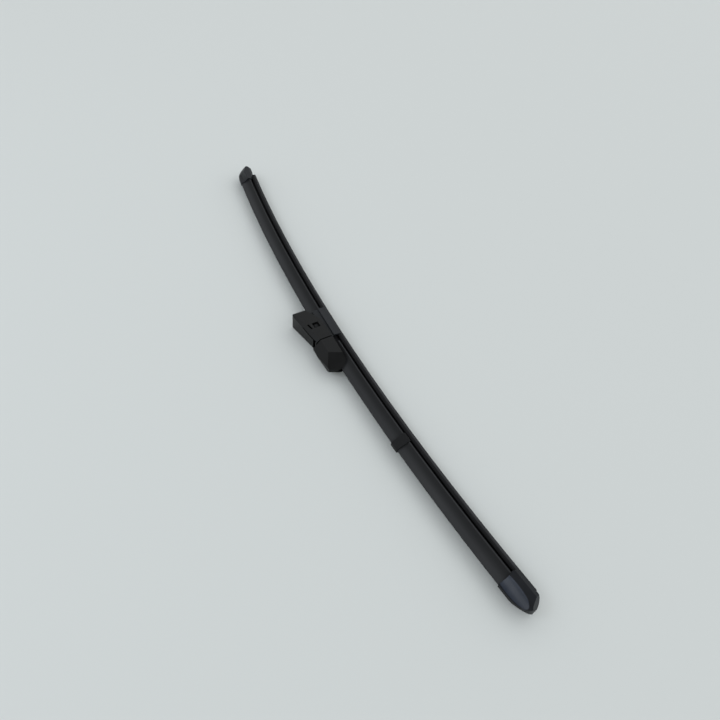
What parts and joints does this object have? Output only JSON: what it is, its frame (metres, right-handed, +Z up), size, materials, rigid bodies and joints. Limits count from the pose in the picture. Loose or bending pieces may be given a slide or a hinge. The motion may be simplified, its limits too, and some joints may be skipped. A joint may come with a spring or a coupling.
{
  "type": "wiper blade",
  "caption": "Long flat windscreen wiper blade lying on its side: bowed spoiler on spring rails, rubber lip, end caps and a rocking arm adapter.",
  "frame": {"origin": "on the floor, midway along the blade and midway between the lip's ends and the top of the adapter", "axes": "+X along the blade towards the far end, +Y away from the glass towards the adapter, +Z up as the blade lies on its side"},
  "size_m": [0.5996, 0.0572, 0.0185],
  "materials": {
    "wiper_rubber": "matte black rubber",
    "spring_steel": "plain spring steel",
    "spoiler": "matte charcoal elastomer",
    "end_cap": "satin charcoal plastic",
    "spoiler_clip": "satin charcoal plastic",
    "bracket_steel": "dark phosphated steel",
    "connector_cover": "satin charcoal plastic",
    "adapter": "satin black plastic"
  },
  "bodies": {
    "blade": {"wiper_rubber": "wiper_rubber", "spring_rail_upper": "spring_steel", "spring_rail_lower": "spring_steel", "spoiler_far": "spoiler", "spoiler_near": "spoiler", "end_cap_far": "end_cap", "end_cap_near": "end_cap", "spoiler_clip": "spoiler_clip", "rail_bracket": "bracket_steel", "pivot_pin": "bracket_steel", "connector_cover": "connector_cover"},
    "adapter": {"adapter_body": "adapter", "adapter_nose": "adapter"}
  },
  "joints": [
    {"name": "adapter_rock", "type": "hinge", "parent": "blade", "child": "adapter", "pos_m": [0.0075, 0.0125, 0], "axis": [0, 0, 1], "range_deg": [-15, 3]}
  ]
}
